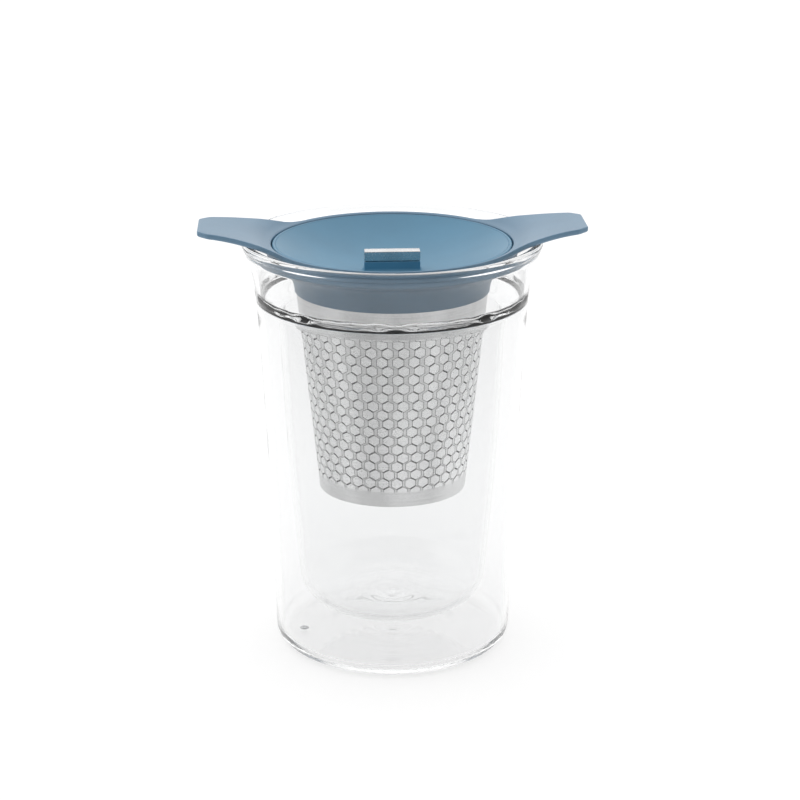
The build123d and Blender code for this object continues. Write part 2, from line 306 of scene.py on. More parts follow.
def tangent_arc(start, direction, end, steps):
    """Points of the arc that leaves start in a direction for end, and its direction there."""
    heading = math.atan2(direction.y, direction.x)
    chord = math.atan2(end.y - start.y, end.x - start.x)
    turn = 2 * math.remainder(chord - heading, 2 * math.pi)
    radius = (end - start).length / (2 * math.sin(turn / 2))
    centre = start + radius * Vector((-math.sin(heading), math.cos(heading)))
    points = []
    for i in range(1, steps + 1):
        a = heading + turn * i / steps
        points.append(centre + radius * Vector((math.sin(a), -math.cos(a))))
    last = heading + turn
    return points, Vector((math.cos(last), math.sin(last)))


def swept(start, direction, stops, steps):
    """Points after start on arcs from stop to stop, each tangent to the last."""
    points = []
    for stop in stops:
        made, direction = tangent_arc(start, direction, stop, steps)
        points += made
        start = stop
    return points


def height_on(section, radius):
    """Height of a section at a radius."""
    for a, b in zip(section, section[1:]):
        if radius <= b.x:
            break
    return a.y + (b.y - a.y) * (radius - a.x) / (b.x - a.x)


# ---------------------------------------------------------------- meshes
def mesh_object(name, vertices, faces):
    """A smooth mesh from points in millimetres."""
    mesh = bpy.data.meshes.new(name)
    mesh.from_pydata([tuple(v * MM) for v in vertices], [], faces)
    mesh.validate()
    mesh.update()
    mesh.shade_smooth()
    made = bpy.data.objects.new(name, mesh)
    bpy.context.collection.objects.link(made)
    return made


def crease(made, degrees):
    """Keeps edges sharper than an angle crisp under smooth shading."""
    made.data.set_sharp_from_angle(angle=math.radians(degrees))


def lathe(section, segments=ROUND):
    """Vertices and faces of a section turned round Z. Points on the axis are poles."""
    vertices = []
    rings = []
    for p in section:
        if p.x < ON_AXIS:
            rings.append([len(vertices)] * segments)
            vertices.append(Vector((0, 0, p.y)))
            continue
        rings.append(list(range(len(vertices), len(vertices) + segments)))
        for k in range(segments):
            a = 2 * math.pi * k / segments
            vertices.append(Vector((p.x * math.cos(a), p.x * math.sin(a), p.y)))
    faces = []
    for low, high in zip(rings, rings[1:]):
        for k in range(segments):
            n = (k + 1) % segments
            face = []
            for corner in (low[k], low[n], high[n], high[k]):
                if corner not in face:
                    face.append(corner)
            if len(face) > 2:
                faces.append(face)
    return vertices, faces


def stacked(rings, closed=False):
    """A skin over rings of equally many points. Its ends are flat, or joined if closed."""
    count = len(rings[0])
    vertices = [v for ring in rings for v in ring]
    faces = []
    for r in range(len(rings) if closed else len(rings) - 1):
        low = r * count
        high = (r + 1) % len(rings) * count
        for k in range(count):
            m = (k + 1) % count
            faces.append([low + k, low + m, high + m, high + k])
    if not closed:
        faces.append(list(range(count))[::-1])
        faces.append([(len(rings) - 1) * count + k for k in range(count)])
    return vertices, faces


def joined(*parts):
    """Several (vertices, faces) as one."""
    vertices = []
    faces = []
    for some, those in parts:
        shift = len(vertices)
        vertices += some
        faces += [[i + shift for i in face] for face in those]
    return vertices, faces


def soft_box(width, depth, corner, steps):
    """Plan of a rectangle with round corners, anticlockwise."""
    plan = []
    for x, y, start in ((1, 1, 0), (-1, 1, 90), (-1, -1, 180), (1, -1, 270)):
        middle = Vector((x * (width / 2 - corner), y * (depth / 2 - corner)))
        plan.append(middle + corner * polar(start))
        plan += arc(middle, corner, start, start + 90, steps)
    return plan


# ---------------------------------------------------------------- materials
def node(tree, kind, **inputs):
    """A shader node.

    An input goes by its name with _ for a space, or in_0 for the first. set_x sets property x.
    """
    made = tree.nodes.new(kind)
    for name, value in inputs.items():
        if name.startswith("set_"):
            setattr(made, name[4:], value)
            continue
        if name.startswith("in_"):
            socket = made.inputs[int(name[3:])]
        else:
            socket = made.inputs[name.replace("_", " ")]
        if isinstance(value, bpy.types.NodeSocket):
            tree.links.new(value, socket)
        else:
            socket.default_value = value
    return made


def maths(tree, operation, *values):
    """Result of a maths node over numbers or sockets."""
    inputs = {f"in_{i}": value for i, value in enumerate(values)}
    return node(tree, "ShaderNodeMath", set_operation=operation, **inputs).outputs[0]


def spread(tree, value, low, high, new_low, new_high):
    """Maps a value from one range to another, held at its ends."""
    made = node(tree, "ShaderNodeMapRange", Value=value, From_Min=low, From_Max=high,
                To_Min=new_low, To_Max=new_high)
    return made.outputs[0]


def ramp(tree, value, stops):
    """A colour ramp through (position, grey or colour) stops."""
    made = node(tree, "ShaderNodeValToRGB", in_0=value)
    elements = made.color_ramp.elements
    while len(elements) < len(stops):
        elements.new(0.5)
    for element, (position, colour) in zip(elements, stops):
        element.position = position
        rgb = (colour,) * 3 if isinstance(colour, (int, float)) else colour
        element.color = (*rgb, 1)
    return made.outputs[0]


def linear(*rgb):
    """sRGB from 0 to 255, as Blender's linear colour."""
    parts = [c / 255 for c in rgb]
    return tuple(c / 12.92 if c <= 0.04045 else ((c + 0.055) / 1.055) ** 2.4 for c in parts)


def material(name):
    """A new material, its node tree and its shader."""
    made = bpy.data.materials.new(name)
    made.use_nodes = True
    return made, made.node_tree, made.node_tree.nodes["Principled BSDF"]


def glass_material(name, tint):
    """Clear blown glass: its surface waves very slightly."""
    made, tree, shader = material(name)
    shader.inputs["Base Color"].default_value = (*tint, 1)
    shader.inputs["Transmission Weight"].default_value = 1.0
    shader.inputs["IOR"].default_value = GLASS_IOR
    shader.inputs["Roughness"].default_value = 0.0
    place = node(tree, "ShaderNodeTexCoord").outputs["Object"]
    wave = node(tree, "ShaderNodeTexNoise", Vector=place, Scale=45.0, Detail=1.0)
    bump = node(tree, "ShaderNodeBump", Height=wave.outputs["Fac"], Strength=0.06, Distance=0.0006)
    tree.links.new(bump.outputs[0], shader.inputs["Normal"])
    return made


def plastic_material(name, colour, roughness):
    """Satin moulded plastic: a fine spark-eroded grain and a slight cloudiness in its colour."""
    made, tree, shader = material(name)
    place = node(tree, "ShaderNodeTexCoord").outputs["Object"]
    cloud = node(tree, "ShaderNodeTexNoise", Vector=place, Scale=60.0, Detail=3.0)
    deep = tuple(c * 0.94 for c in colour)
    pale = tuple(min(c * 1.05, 1) for c in colour)
    tint = ramp(tree, cloud.outputs["Fac"], [(0.3, deep), (0.7, pale)])
    grain = node(tree, "ShaderNodeTexNoise", Vector=place, Scale=2600.0, Detail=2.0).outputs["Fac"]
    dull = spread(tree, grain, 0, 1, roughness - 0.04, roughness + 0.05)
    bump = node(tree, "ShaderNodeBump", Height=grain, Strength=0.12, Distance=0.00004)
    tree.links.new(tint, shader.inputs["Base Color"])
    tree.links.new(dull, shader.inputs["Roughness"])
    tree.links.new(bump.outputs[0], shader.inputs["Normal"])
    shader.inputs["IOR"].default_value = PLASTIC_IOR
    return made


def steel_material(brush, name, deep, pale, roughness):
    """Brushed stainless steel. brush scales a noise so that its streaks run along one direction.

    Wider upright zones are a little lighter and darker: painted reflection of an uneven studio in
    the steel.
    """
    made, tree, shader = material(name)
    place = node(tree, "ShaderNodeTexCoord").outputs["Object"]
    scaled = node(tree, "ShaderNodeMapping", Vector=place, Scale=brush).outputs[0]
    streak = node(tree, "ShaderNodeTexNoise", Vector=scaled, Scale=1.0, Detail=4.0).outputs["Fac"]
    speck = node(tree, "ShaderNodeTexNoise", Vector=place, Scale=1800.0, Detail=3.0).outputs["Fac"]
    both = maths(tree, "ADD", maths(tree, "MULTIPLY", streak, STREAK_SHARE),
                 maths(tree, "MULTIPLY", speck, SPECK_SHARE))
    # painted reflection: upright zones lighten and darken the steel's colour as an uneven studio
    # would in its reflections
    upright = node(tree, "ShaderNodeMapping", Vector=place, Scale=PAINTED_REFLECTION_ZONES).outputs[0]
    painted_reflection = node(tree, "ShaderNodeTexNoise", Vector=upright, Scale=1.0, Detail=2.0).outputs["Fac"]
    lighter = maths(tree, "MULTIPLY", maths(tree, "SUBTRACT", painted_reflection, 0.5), PAINTED_REFLECTION_SHARE)
    uneven = maths(tree, "ADD", both, lighter)
    tint = ramp(tree, uneven, [(0.3, deep), (0.7, pale)])
    dull = spread(tree, both, 0.3, 0.7, roughness - 0.08, roughness + 0.08)
    bump = node(tree, "ShaderNodeBump", Height=both, Strength=0.25, Distance=0.00005)
    tree.links.new(tint, shader.inputs["Base Color"])
    tree.links.new(dull, shader.inputs["Roughness"])
    tree.links.new(bump.outputs[0], shader.inputs["Normal"])
    shader.inputs["Metallic"].default_value = 1.0
    return made


# ---------------------------------------------------------------- glass
def cup_side(inset):
    """One face of the cup's wall, from the axis to the foot of the neck. inset is 0 outside."""
    bottom = cup_bottom_level + inset
    centre = Vector((CUP_LOWER_RADIUS - CUP_ROUND, cup_bottom_level + CUP_ROUND))
    high = Vector((CUP_UPPER_RADIUS - inset, weld_level - NECK_LENGTH))
    points = [Vector((0, bottom))]
    points += line(points[0], Vector((centre.x, bottom)), steps=60)
    if inset:
        points = [p + Vector((0, boss(p.x, centre.x))) for p in points]
    points += arc(centre, CUP_ROUND - inset, -90, -CUP_LEAN, steps=32)
    return points + tangent_arc(points[-1], leaning(math.radians(CUP_LEAN)), high, steps=16)[0]


def boss(radius, end):
    """The slight boss and rings that hand work leaves in the middle of a glass's bottom."""
    fade = 1 - min(radius / end, 1)
    return fade * (BOSS_HEIGHT * math.exp(-(radius / BOSS_RADIUS) ** 2)
                   + RING_HEIGHT * math.cos(2 * math.pi * radius / RING_PITCH))


def neck_side(low, high):
    """One face of the cup's neck, after its lower end: nearly straight."""
    return tangent_arc(low, leaning(NECK_LEAN), high, steps=16)[0]


def outer_side(inset, start_level):
    """One face of the outer wall, from a level at the heel to the weld. inset is 0 outside."""
    low = Vector((HEEL_RADIUS - inset, start_level))
    high = Vector((WELD_RADIUS - inset, weld_level))
    return [low] + tangent_arc(low, leaning(OUTER_LEAN), high, steps=20)[0]


def bead_point(angle):
    """A point on the bead, at an angle in degrees."""
    return Vector((lip_radius - LIP_BEAD, glass_height - LIP_BEAD)) + LIP_BEAD * polar(angle)


def flare_outside():
    """The flare's outer face, from the weld up to the bead."""
    bead = bead_point(-math.degrees(FLARE_ANGLE))
    weld = Vector((WELD_RADIUS, weld_level))
    down = tangent_arc(bead, -leaning(FLARE_ANGLE), weld, steps=96)[0]
    return down[::-1] + [bead]


def flare_wall():
    """The flare's inner face where it runs along the outer one."""
    outside = flare_outside()
    points = []
    for low, high in zip(outside, outside[1:]):
        way = (high - low).normalized()
        p = low.lerp(high, 0.5) + FLARE_WALL * Vector((-way.y, way.x))
        if weld_level + WELD_HEIGHT < p.y < glass_height - LIP_BEAD - BEAD_BLEND:
            points.append(p)
    return points


def shoulder_inside():
    """The cup's inner face where it leaves the neck and sweeps out to the flare, from its foot."""
    wall = flare_wall()
    foot = Vector((NECK_RADIUS - INNER_WALL, weld_level - SHOULDER_FOOT))
    lead = Vector((0, SHOULDER_RISE))
    back = SHOULDER_RUN * (wall[1] - wall[0]).normalized()
    return [foot] + bezier([foot, foot + lead, wall[0] - back, wall[0]], steps=48)


def shoulder_outside():
    """The cup's outer face under the shoulder. It meets the outer wall in a small round."""
    side = WELD_RADIUS - OUTER_WALL
    inside = shoulder_inside()
    points = []
    for low, high in zip(inside, inside[1:]):
        way = (high - low).normalized()
        p = low.lerp(high, 0.5) + INNER_WALL * Vector((way.y, -way.x))
        if p.x < side - GAP_ROUND:
            points.append(p)
    last = points[-1]
    way = (last - points[-2]).normalized()
    corner = last + way * (side - last.x) / way.x
    return points + bezier([last, corner, corner - Vector((0, 2 * GAP_ROUND))], steps=10)


def flare_inside():
    """The flare's inner face above the shoulder, and its blend into the bead."""
    wall = flare_wall()
    last = wall[-1]
    middle = last + BEAD_BLEND / 2 * (last - wall[-2]).normalized()
    return wall[1:] + bezier([last, middle, bead_point(BEAD_INNER)], steps=12)


def weld_waves(angle):
    """The slight waves of hand work round the weld, from -1 to 1."""
    return sum(math.sin(count * angle + phase) for count, phase in WELD_WAVES) / len(WELD_WAVES)


def swollen(height, angle):
    """How far the fused weld stands out of either face at a height and an angle."""
    share = 2 * (height - weld_level) / WELD_HEIGHT - 1
    if abs(share) >= 1:
        return 0.0
    return (WELD_SWELLING + WELD_WAVE * weld_waves(angle)) * (1 - share ** 2)


def glass_skin():
    """The outside of the whole glass: base, outer wall, over the lip and down inside the cup."""
    heel_centre = Vector((HEEL_RADIUS - HEEL_ROUND, HEEL_ROUND))
    foot_outer = Vector((heel_centre.x, 0))
    foot_inner = Vector((foot_outer.x - FOOT_WIDTH, 0))
    hollow = Vector((HOLLOW_RADIUS, PUSH_UP))
    reach = Vector(((foot_inner.x - hollow.x) / 2, 0))
    inside_low = Vector((CUP_UPPER_RADIUS - INNER_WALL, weld_level - NECK_LENGTH))
    skin = [Vector((0, PUSH_UP))]
    skin += line(skin[0], hollow, steps=10)
    skin += bezier([hollow, hollow + reach, foot_inner - reach, foot_inner], steps=24)
    skin += line(foot_inner, foot_outer, steps=2)
    skin += arc(heel_centre, HEEL_ROUND, -90, 0, steps=12)
    wall = outer_side(0, HEEL_ROUND)
    skin += wall[1:-1] + line(wall[-2], wall[-1], steps=24)
    skin += flare_outside()[1:]
    bead_centre = Vector((lip_radius - LIP_BEAD, glass_height - LIP_BEAD))
    skin += arc(bead_centre, LIP_BEAD, -math.degrees(FLARE_ANGLE), BEAD_INNER, steps=28)
    shoulder = shoulder_inside()
    skin += flare_inside()[:-1][::-1] + shoulder[::-1]
    skin += ([inside_low] + neck_side(inside_low, shoulder[0]))[:-1][::-1]
    return skin + cup_side(INNER_WALL)[:-1][::-1]


def air_space():
    """The closed space between the walls: up the cup, over, and down the outer wall's inside."""
    low = Vector((CUP_UPPER_RADIUS, weld_level - NECK_LENGTH))
    shoulder = shoulder_outside()
    inner_round = HEEL_ROUND - OUTER_WALL
    floor_top = PUSH_UP + OUTER_FLOOR
    corner = Vector((HEEL_RADIUS - OUTER_WALL - inner_round, floor_top + inner_round))
    space = cup_side(0)
    space += neck_side(low, shoulder[0]) + shoulder[1:]
    space += outer_side(OUTER_WALL, floor_top + inner_round)[:-1][::-1]
    space += arc(corner, inner_round, 0, -90, steps=10)
    corner_radius = space[-1].x
    floor = line(space[-1], Vector((0, floor_top)), steps=80)
    return space + [p + Vector((0, boss(p.x, corner_radius))) for p in floor]


def make_glass():
    """Both walls as one body of glass, round the closed air space."""
    skin, skin_faces = lathe(glass_skin())
    for v in skin:
        radius = v.xy.length
        if radius > 0:
            side = 1 if radius > WELD_RADIUS - OUTER_WALL / 2 else -1
            v.xy *= 1 + side * swollen(v.z, math.atan2(v.y, v.x)) / radius
    vertices, faces = joined((skin, skin_faces), lathe(air_space()))
    made = mesh_object("glass_walls", vertices, faces)
    made.data.materials.append(glass_material("clear_glass", GLASS_TINT))
    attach(made, "glass")
    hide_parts("inner_glass", "outer_glass")


def make_vent_drop():
    """The drop of glass on the base, inside the air space, that closes the vent."""
    middle = (vent_low + vent_high) / 2
    radius = (vent_high.x - vent_low.x) / 2
    floor_top = PUSH_UP + OUTER_FLOOR
    height = vent_high.z - floor_top
    ball = (radius ** 2 + height ** 2) / (2 * height)
    reach = math.degrees(math.asin(radius / ball))
    dome = arc(Vector((0, vent_high.z - ball)), ball, 90 - reach, 90, steps=8)
    section = [Vector((0, floor_top)), Vector((radius, floor_top))] + dome
    section[-1].x = 0
    vertices, faces = lathe(section, segments=32)
    made = mesh_object("vent_drop", [v + Vector((middle.x, middle.y, 0)) for v in vertices], faces)
    crease(made, degrees=30)
    # the drop's glass is tinted grey: painted shade
    made.data.materials.append(glass_material("shade_tinted_glass", PAINTED_SHADE_TINT))
    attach(made, "glass")
    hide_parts("vent_seal")


# ---------------------------------------------------------------- collar
def steel_radius(height):
    """Outside radius of the steel wall at a level."""
    return steel_top_radius - (steel_top_level - height) * math.tan(BASKET_TAPER)


def wing_top():
    """Section of the collar's top, from its inner edge over the lip to beyond a wing's tip."""
    mouth = Vector((MOUTH_RADIUS, rim_level))
    over_lip = Vector((lip_radius - LIP_BEAD, glass_height + SEAT_GAP + WING_THICKNESS))
    tip = Vector((wing_span / 2 + WING_CHAMFER, wing_tip_level))
    stops = [mouth.lerp(over_lip, WING_TURN), over_lip, tip]
    return [mouth] + swept(mouth, leaning(WING_START), stops, steps=16)


def rounded_corner(before, corner, after):
    """Points that round a corner of the plan."""
    start = corner + (before - corner).normalized() * TIP_SOFTNESS
    end = corner + (after - corner).normalized() * TIP_SOFTNESS
    return [start] + bezier([start, corner, end], steps=5)


def wing_side():
    """Half of one wing's plan, from the round rim to the middle of its tip."""
    blend_point = RIM_RADIUS * Vector((math.cos(WING_BLEND), math.sin(WING_BLEND)))
    shoulder = Vector((wing_span / 2 - WING_CHAMFER, TIP_WIDTH / 2))
    corner = Vector((wing_span / 2, TIP_WIDTH / 2 - WING_CHAMFER))
    middle = Vector((wing_span / 2, 0))
    way = Vector((blend_point.y, -blend_point.x))
    sweep = tangent_arc(blend_point, way, shoulder, steps=40)[0]
    points = [blend_point] + sweep[:-1]
    points += rounded_corner(sweep[-2], shoulder, corner)
    points += rounded_corner(shoulder, corner, middle)
    return points + line(points[-1], middle, steps=8)


def collar_plan():
    """The collar's outline seen from above, anticlockwise from the middle of the right tip."""
    side = wing_side()
    blend = math.degrees(WING_BLEND)
    back = arc(Vector((0, 0)), RIM_RADIUS, blend, 180 - blend, steps=56)
    upper = side[::-1] + back[:-1] + [Vector((-p.x, p.y)) for p in side]
    return upper + [Vector((p.x, -p.y)) for p in upper[1:-1]][::-1]


def inset_plan(plan, inset):
    """The outline moved inwards, square to itself."""
    moved = []
    for i, p in enumerate(plan):
        along = (plan[(i + 1) % len(plan)] - plan[i - 1]).normalized()
        moved.append(p + inset * Vector((-along.y, along.x)))
    return moved


def skirt_side():
    """Section of the collar's outside, from its rim's side down to its lower edge."""
    band_top = skirt_level + SKIRT_BAND
    start = Vector((steel_radius(band_top) + SKIRT_EDGE, band_top))
    turn = Vector((RIM_RADIUS - SKIRT_TURN_WIDTH, rim_level - SKIRT_TURN_DROP))
    end = Vector((RIM_RADIUS, rim_level - RIM_SIDE))
    corner = Vector((steel_radius(skirt_level) + SKIRT_EDGE, skirt_level))
    foot = [corner - Vector((SKIRT_SOFTNESS, 0)), corner, corner + Vector((0, SKIRT_SOFTNESS))]
    upward = [foot[0]] + bezier(foot, steps=4) + [start]
    upward += swept(start, leaning(BASKET_TAPER), [turn, end], steps=16)
    return upward[::-1]


def collar_inside():
    """Section of the collar's inside: the steel's socket, its lip, and the lid's ledge."""
    lip = steel_radius(steel_top_level) - SHEET - GRIP_LIP
    ledge = MOUTH_RADIUS - LEDGE_WIDTH
    return [
        Vector((steel_radius(skirt_level) + MOULD_FIT, skirt_level)),
        Vector((steel_top_radius + MOULD_FIT, steel_top_level)),
        Vector((lip, steel_top_level)),
        Vector((lip, steel_top_level + GRIP_LIP)),
        Vector((ledge, ledge_level - LEDGE_WALL)),
        Vector((ledge, ledge_level)),
    ]


def make_collar():
    """The moulded collar: a round rim with two wings, over a skirt that holds the steel."""
    top = wing_top()
    plan = collar_plan()
    angles = [math.atan2(p.y, p.x) for p in plan]
    rings = []

    def round_ring(radius, height):
        rings.append([Vector((radius * math.cos(a), radius * math.sin(a), height))
                      for a in angles])

    def plan_ring(outline, drop, start_radius=0.0, share=1.0):
        """A ring under the top, a share of the way from a circle to an outline."""
        ring = []
        for p, a in zip(outline, angles):
            near = start_radius * Vector((math.cos(a), math.sin(a)))
            q = near.lerp(p, share)
            ring.append(Vector((q.x, q.y, height_on(top, q.length) - drop)))
        rings.append(ring)

    # up the mouth's wall, over its rounded edge, and out over the top
    round_ring(MOUTH_RADIUS, ledge_level)
    edge_centre = Vector((MOUTH_RADIUS + MOUTH_EDGE, rim_level - MOUTH_EDGE))
    for p in arc(edge_centre, MOUTH_EDGE, 180, 105, steps=4):
        round_ring(p.x, p.y)
    inner = inset_plan(plan, WING_UPPER_EDGE)
    steps = 30
    for i in range(steps + 1):
        plan_ring(inner, 0, MOUTH_RADIUS + MOUTH_EDGE, i / steps)
    # round the upper edge, down the side and round the lower edge
    for a in (15, 30, 45, 60, 75, 90):
        way = polar(a)
        plan_ring(inset_plan(plan, WING_UPPER_EDGE * (1 - way.y)), WING_UPPER_EDGE * (1 - way.x))
    for a in (0, 22, 45, 68, 90):
        way = polar(a)
        plan_ring(inset_plan(plan, WING_LOWER_EDGE * (1 - way.x)),
                  WING_THICKNESS - WING_LOWER_EDGE * (1 - way.y))
    # back under the wings to the rim's side, down the skirt and up the inside
    under = inset_plan(plan, WING_LOWER_EDGE + UNDERSIDE_INSET)
    steps = 18
    for i in range(steps, 0, -1):
        plan_ring(under, WING_THICKNESS, RIM_RADIUS - UNDERSIDE_TUCK, i / steps)
    for p in skirt_side()[1:] + collar_inside():
        round_ring(p.x, p.y)
    vertices, faces = stacked(rings, closed=True)
    made = mesh_object("collar", vertices, [face[::-1] for face in faces])
    crease(made, degrees=38)
    made.data.materials.append(
        plastic_material("collar_plastic", linear(*COLLAR_COLOUR), COLLAR_ROUGHNESS))
    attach(made, "infuser")
    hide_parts("infuser_collar")


# ---------------------------------------------------------------- basket
def cell_corner(centre, across, k):
    """Corner k of a hexagon that stands on a corner. across is from flat to flat."""
    return centre + across / math.sqrt(3) * polar(90 - 60 * k)


def cell_reach(p, centre):
    """Size of the hexagon round a centre that passes through p, from its middle to a flat."""
    d = p - centre
    return max(abs(d.x), abs(d.dot(polar(60))), abs(d.dot(polar(-60))))


def chain_cells():
    """Centres of one chain's cells as (arc, height) from below, right and left in turn."""
    side = CELL_WIDTH / 4
    return [Vector((-side if k % 2 else side, pattern_level + k * row_pitch))
            for k in range(rows + 1)]


def chain_slots(cells):
    """The slots as corners: each lies in the edge that two neighbours in the chain share."""
    slots = []
    for k, (a, b) in enumerate(zip(cells, cells[1:])):
        slant = -SLOT_SLANT if k % 2 else SLOT_SLANT
        along = Vector((math.cos(slant), math.sin(slant))) * SLOT_LENGTH / 2
        across = Vector((-math.sin(slant), math.cos(slant))) * SLOT_WIDTH / 2
        middle = a.lerp(b, 0.5)
        slots.append([middle - along - across, middle + along - across,
                      middle + along + across, middle - along + across])
    return slots


def chain_seam(cells):
    """The line midway between a chain's cells and its left neighbour's, as (arc, height)."""
    half_side = CELL_WIDTH / math.sqrt(3) / 2
    below = (basket_level + pattern_level) / 2
    above = (pattern_top + steel_top_level) / 2
    seam = [Vector((cells[0].x, basket_level)), Vector((cells[0].x, below))]
    for c in cells:
        seam.append(Vector((c.x, c.y - half_side)))
        seam.append(Vector((c.x, c.y + half_side)))
    seam.append(Vector((cells[-1].x, above)))
    seam.append(Vector((cells[-1].x, steel_top_level)))
    return seam


def in_slot(p, corners):
    """Whether p lies inside a slot. Its corners go anticlockwise."""
    return all((b - a).cross(p - a) > 0 for a, b in zip(corners, corners[1:] + corners[:1]))


def etched(p, cells):
    """Depth of the etched outlines at a point: a shallow V along every cell's edge."""
    if not pattern_level - 0.01 < p.y < pattern_top + 0.01:
        return 0.0
    off = min(abs(cell_reach(p, c) - CELL_WIDTH / 2) for c in cells)
    return max(0.0, ETCH_DEPTH * (1 - off / (ETCH_WIDTH / 2)))


def chain_strip():
    """One chain's strip of wall, with edges along its cells, outlines and slots.

    Returns its points as (angle, height), its triangles and their finishes, the depth of etching
    at each point, and for each point of the right seam the same one of the left seam.
    """
    pitch = 2 * math.pi / CHAINS
    cells = chain_cells()
    slots = chain_slots(cells)
    seam = [Vector((p.x / steel_radius(p.y) - pitch / 2, p.y)) for p in chain_seam(cells)]
    points = []
    edges = []

    def add_line(corners, closed=False):
        start = len(points)
        points.extend(corners)
        edges.extend((start + i, start + i + 1) for i in range(len(corners) - 1))
        if closed:
            edges.append((start + len(corners) - 1, start))

    def turned(p):
        return Vector((p.x / steel_radius(p.y), p.y))

    across_steps = [Vector((pitch * i / 6, 0)) for i in range(1, 6)]
    up = seam
    over = [seam[-1] + step for step in across_steps]
    down = [p + Vector((pitch, 0)) for p in seam[::-1]]
    back = [seam[0] + step for step in across_steps[::-1]]
    add_line(up + over + down + back, closed=True)
    for level in (seam[1], seam[-2]):
        points.extend(level + step for step in across_steps)
    for k, cell in enumerate(cells):
        points.append(turned(cell))
        for across in (CELL_WIDTH + ETCH_WIDTH, CELL_WIDTH, CELL_WIDTH - ETCH_WIDTH):
            corners = [cell_corner(cell, across, i) for i in range(6)]
            left = Vector((cell.x - across / 2, cell.y))
            right = Vector((cell.x + across / 2, cell.y))
            if k == 0:
                add_line([turned(p) for p in [left, corners[5], corners[0], corners[1], right]])
            elif k == rows:
                add_line([turned(p) for p in [right, corners[2], corners[3], corners[4], left]])
            else:
                add_line([turned(p) for p in corners], closed=True)
    for slot in slots:
        add_line([turned(p) for p in slot], closed=True)

    scale = steel_radius((pattern_level + pattern_top) / 2)
    flat = [Vector((p.x * scale, p.y)) for p in points]
    made, _, triangles, origins, _, _ = delaunay_2d_cdt(flat, edges, [], 1, 1e-5)
    strip = [Vector((p.x / scale, p.y)) for p in made]
    here = [Vector((p.x * steel_radius(p.y), p.y)) for p in strip]
    place = {}
    for i, sources in enumerate(origins):
        for source in sources:
            place[source] = i
    last = len(seam) + len(over) + len(down) - 1
    shared = {place[last - k]: place[k] for k in range(len(seam))}
    kept = []
    finish = []
    for t in triangles:
        middle = sum((here[i] for i in t), Vector((0, 0))) / 3
        if not any(in_slot(middle, slot) for slot in slots):
            kept.append(list(t))
            off = min(cell_reach(middle, c) for c in cells) - CELL_WIDTH / 2
            patterned = pattern_level < middle.y < pattern_top
            if patterned and abs(off) < ETCH_WIDTH / 2:
                finish.append(ETCHED)
            else:
                finish.append(PAD if patterned and off < 0 else PLAIN)
    return strip, kept, finish, [etched(p, cells) for p in here], shared


def make_basket():
    """The etched and pierced steel wall: one chain's strip, repeated round the cone."""
    strip, triangles, strip_finish, depths, shared = chain_strip()
    own = [i for i in range(len(strip)) if i not in shared]
    order = {i: n for n, i in enumerate(own)}
    outer = []
    inner = []
    for chain in range(CHAINS):
        for i in own:
            angle = strip[i].x + 2 * math.pi * chain / CHAINS
            radius = steel_radius(strip[i].y)
            way = Vector((math.cos(angle), math.sin(angle), 0))
            up = Vector((0, 0, strip[i].y))
            outer.append(way * (radius - depths[i]) + up)
            inner.append(way * (radius - SHEET) + up)

    def index(i, chain):
        if i in shared:
            return (chain + 1) % CHAINS * len(own) + order[shared[i]]
        return chain * len(own) + order[i]

    shift = len(outer)
    faces = []
    finish = []
    borders = set()
    for chain in range(CHAINS):
        for triangle, kind in zip(triangles, strip_finish):
            face = [index(i, chain) for i in triangle]
            faces.append(face)
            faces.append([i + shift for i in face[::-1]])
            # the inner face gets the darker painted shade of the basket's inside
            finish += [kind, SHADED_INSIDE]
            for a, b in zip(face, face[1:] + face[:1]):
                if (b, a) in borders:
                    borders.remove((b, a))
                else:
                    borders.add((a, b))
    # the slots' cut walls take the near-black painted shade
    for a, b in sorted(borders):
        faces.append([b, a, a + shift, b + shift])
        finish.append(PAINTED_SHADE_SLOT)
    made = mesh_object("basket_steel", outer + inner, faces)
    crease(made, degrees=12)
    for wall_finish in WALL_FINISHES:
        made.data.materials.append(steel_material(ROUND_BRUSH, *wall_finish))
    made.data.polygons.foreach_set("material_index", finish)
    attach(made, "infuser")
    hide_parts("basket_wall")


def dress_basket_floor():
    """The floor keeps its CAD shape and gets the brushed steel."""
    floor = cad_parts["basket_floor"]
    floor.data.materials.clear()
    floor.data.materials.append(steel_material(FLOOR_BRUSH, *FLOOR_FINISH))


# ---------------------------------------------------------------- lid
def lid_rim():
    """Radius of the lid."""
    return MOUTH_RADIUS - LID_GAP


def dish_height(radius, inset=0.0):
    """Height of the dish's upper face, or with an inset its lower one, at a radius."""
    rim = lid_rim() - 2 * LID_EDGE
    ball = (rim ** 2 + DISH_DEPTH ** 2) / (2 * DISH_DEPTH)
    return dish_level + ball - math.sqrt((ball + inset) ** 2 - radius ** 2)


def lid_section():
    """The dish: up its underside, round the flange and the rim, and down the upper face."""
    rim = lid_rim()
    seat = ledge_level + SEAT_PLAY
    plug = MOUTH_RADIUS - LEDGE_WIDTH - LID_GAP
    edge_centre = Vector((rim - LID_EDGE, lid_level - LID_EDGE))
    low_corner = Vector((rim, seat))
    dish_start = rim - DISH_START * LID_EDGE
    section = []
    steps = 40
    for i in range(steps + 1):
        radius = plug * i / steps
        section.append(Vector((radius, dish_height(radius, LID_WALL))))
    section += [Vector((plug, seat)), low_corner - Vector((LID_CHAMFER, 0)),
                low_corner + Vector((0, LID_CHAMFER))]
    section += line(section[-1], edge_centre + Vector((LID_EDGE, 0)), steps=3)
    section += arc(edge_centre, LID_EDGE, 0, 150, steps=12)
    steps = 60
    for i in range(steps + 1):
        radius = dish_start * (1 - i / steps)
        section.append(Vector((radius, dish_height(radius))))
    return section


